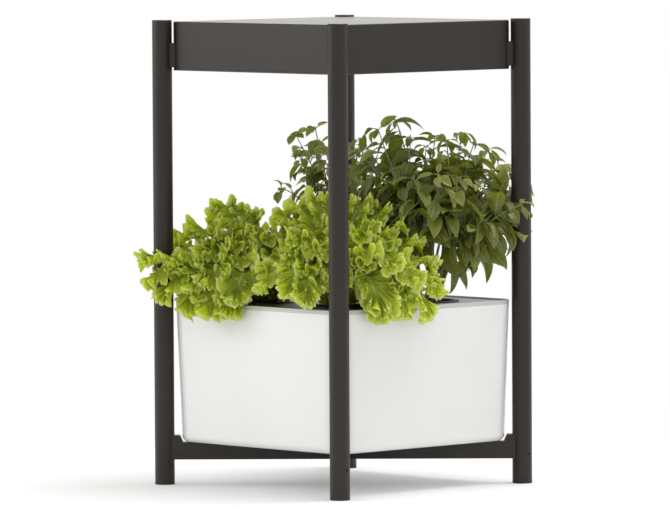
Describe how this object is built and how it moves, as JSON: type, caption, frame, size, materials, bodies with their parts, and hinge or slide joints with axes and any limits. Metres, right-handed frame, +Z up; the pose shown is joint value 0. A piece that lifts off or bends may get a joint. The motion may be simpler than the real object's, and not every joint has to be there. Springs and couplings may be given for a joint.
{
  "type": "hydroponic garden",
  "caption": "Square grow unit: four tube posts carry a flat lamp hood over a white water tub with net cups, pump and plants.",
  "frame": {"origin": "middle of the floor square under the four posts", "axes": "+X to the right, +Y to the back, +Z up; the post nearest in the picture stands at +X, -Y"},
  "size_m": [0.366, 0.4291, 0.61],
  "materials": {
    "dark_paint": "satin powder coat, dark brown-grey",
    "black_rubber": "matt",
    "dark_plastic": "fine texture",
    "sponge": "open-pored growing sponge",
    "screw_steel": "plain",
    "white_gloss": "gloss",
    "deck_grey": "satin grey",
    "lettuce_leaf": "leaf",
    "basil_leaf": "leaf",
    "float_white": "satin",
    "dark_trim": "satin",
    "opal": "opal diffuser",
    "board_white": "solder mask",
    "led_yellow": "phosphor",
    "spreader_metal": "mill"
  },
  "bodies": {
    "frame": {"brace_beam_cross": "dark_paint", "brace_beam_long": "dark_paint", "brace_screws": "screw_steel", "control_board": "board_white", "diffuser": "opal", "driver_box": "dark_plastic", "foot_glides": "black_rubber", "grommet": "black_rubber", "heat_spreader": "spreader_metal", "hood_brackets": "dark_paint", "hood_screws": "screw_steel", "hood_shell": "dark_paint", "impeller_shaft": "screw_steel", "led_board": "board_white", "led_chips": "led_yellow", "light_bezel": "dark_trim", "post_caps": "dark_paint", "post_front_left": "dark_paint", "post_front_right": "dark_paint", "post_rear_left": "dark_paint", "post_rear_right": "dark_paint", "power_jack": "dark_plastic", "pump_body": "dark_plastic", "pump_cover": "dark_plastic", "riser_pipe": "deck_grey", "suction_feet": "black_rubber", "tub": "white_gloss", "wiring_lead": "black_rubber"},
    "deck": {"deck": "deck_grey", "flap_pin": "screw_steel", "manifold": "deck_grey", "float_guide": "deck_grey"},
    "fill_flap": {"fill_flap": "deck_grey"},
    "level_float": {"level_float": "float_white"},
    "impeller": {"impeller": "dark_plastic"},
    "light_button": {"light_button": "float_white"},
    "pump_button": {"pump_button": "float_white"},
    "basket_front_left": {"basket_front_left": "dark_plastic", "medium_front_left": "sponge", "lettuce_front_left": "lettuce_leaf"},
    "basket_front_right": {"basket_front_right": "dark_plastic", "medium_front_right": "sponge", "lettuce_front_right": "lettuce_leaf"},
    "basket_rear_right": {"basket_rear_right": "dark_plastic", "medium_rear_right": "sponge", "basil_rear_right": "basil_leaf"},
    "basket_rear_left": {"basket_rear_left": "dark_plastic", "medium_rear_left": "sponge", "basil_rear_left": "basil_leaf"}
  },
  "joints": [
    {"name": "deck_lift", "type": "slide", "parent": "frame", "child": "deck", "axis": [0, 0, 1], "range_m": [0, 0.02]},
    {"name": "flap_hinge", "type": "hinge", "parent": "deck", "child": "fill_flap", "pos_m": [0, 0.133, 0.2415], "axis": [-1, 0, 0], "range_deg": [0, 100]},
    {"name": "float_rise", "type": "slide", "parent": "deck", "child": "level_float", "axis": [0, 0, 1], "range_m": [0, 0.035]},
    {"name": "impeller_spin", "type": "hinge", "parent": "frame", "child": "impeller", "pos_m": [0, 0, 0.082], "axis": [-0.7071, 0.7071, 0], "continuous": true},
    {"name": "basket_lift_front_left", "type": "slide", "parent": "deck", "child": "basket_front_left", "axis": [0, 0, 1], "range_m": [0, 0.09]},
    {"name": "basket_lift_front_right", "type": "slide", "parent": "deck", "child": "basket_front_right", "axis": [0, 0, 1], "range_m": [0, 0.09]},
    {"name": "basket_lift_rear_right", "type": "slide", "parent": "deck", "child": "basket_rear_right", "axis": [0, 0, 1], "range_m": [0, 0.035]},
    {"name": "basket_lift_rear_left", "type": "slide", "parent": "deck", "child": "basket_rear_left", "axis": [0, 0, 1], "range_m": [0, 0.035]},
    {"name": "light_button_press", "type": "slide", "parent": "frame", "child": "light_button", "axis": [0, -1, 0], "range_m": [0, 0.0015], "stiffness_N_per_m": 300, "springref_m": -0.001},
    {"name": "pump_button_press", "type": "slide", "parent": "frame", "child": "pump_button", "axis": [0, -1, 0], "range_m": [0, 0.0015], "stiffness_N_per_m": 300, "springref_m": -0.001}
  ]
}
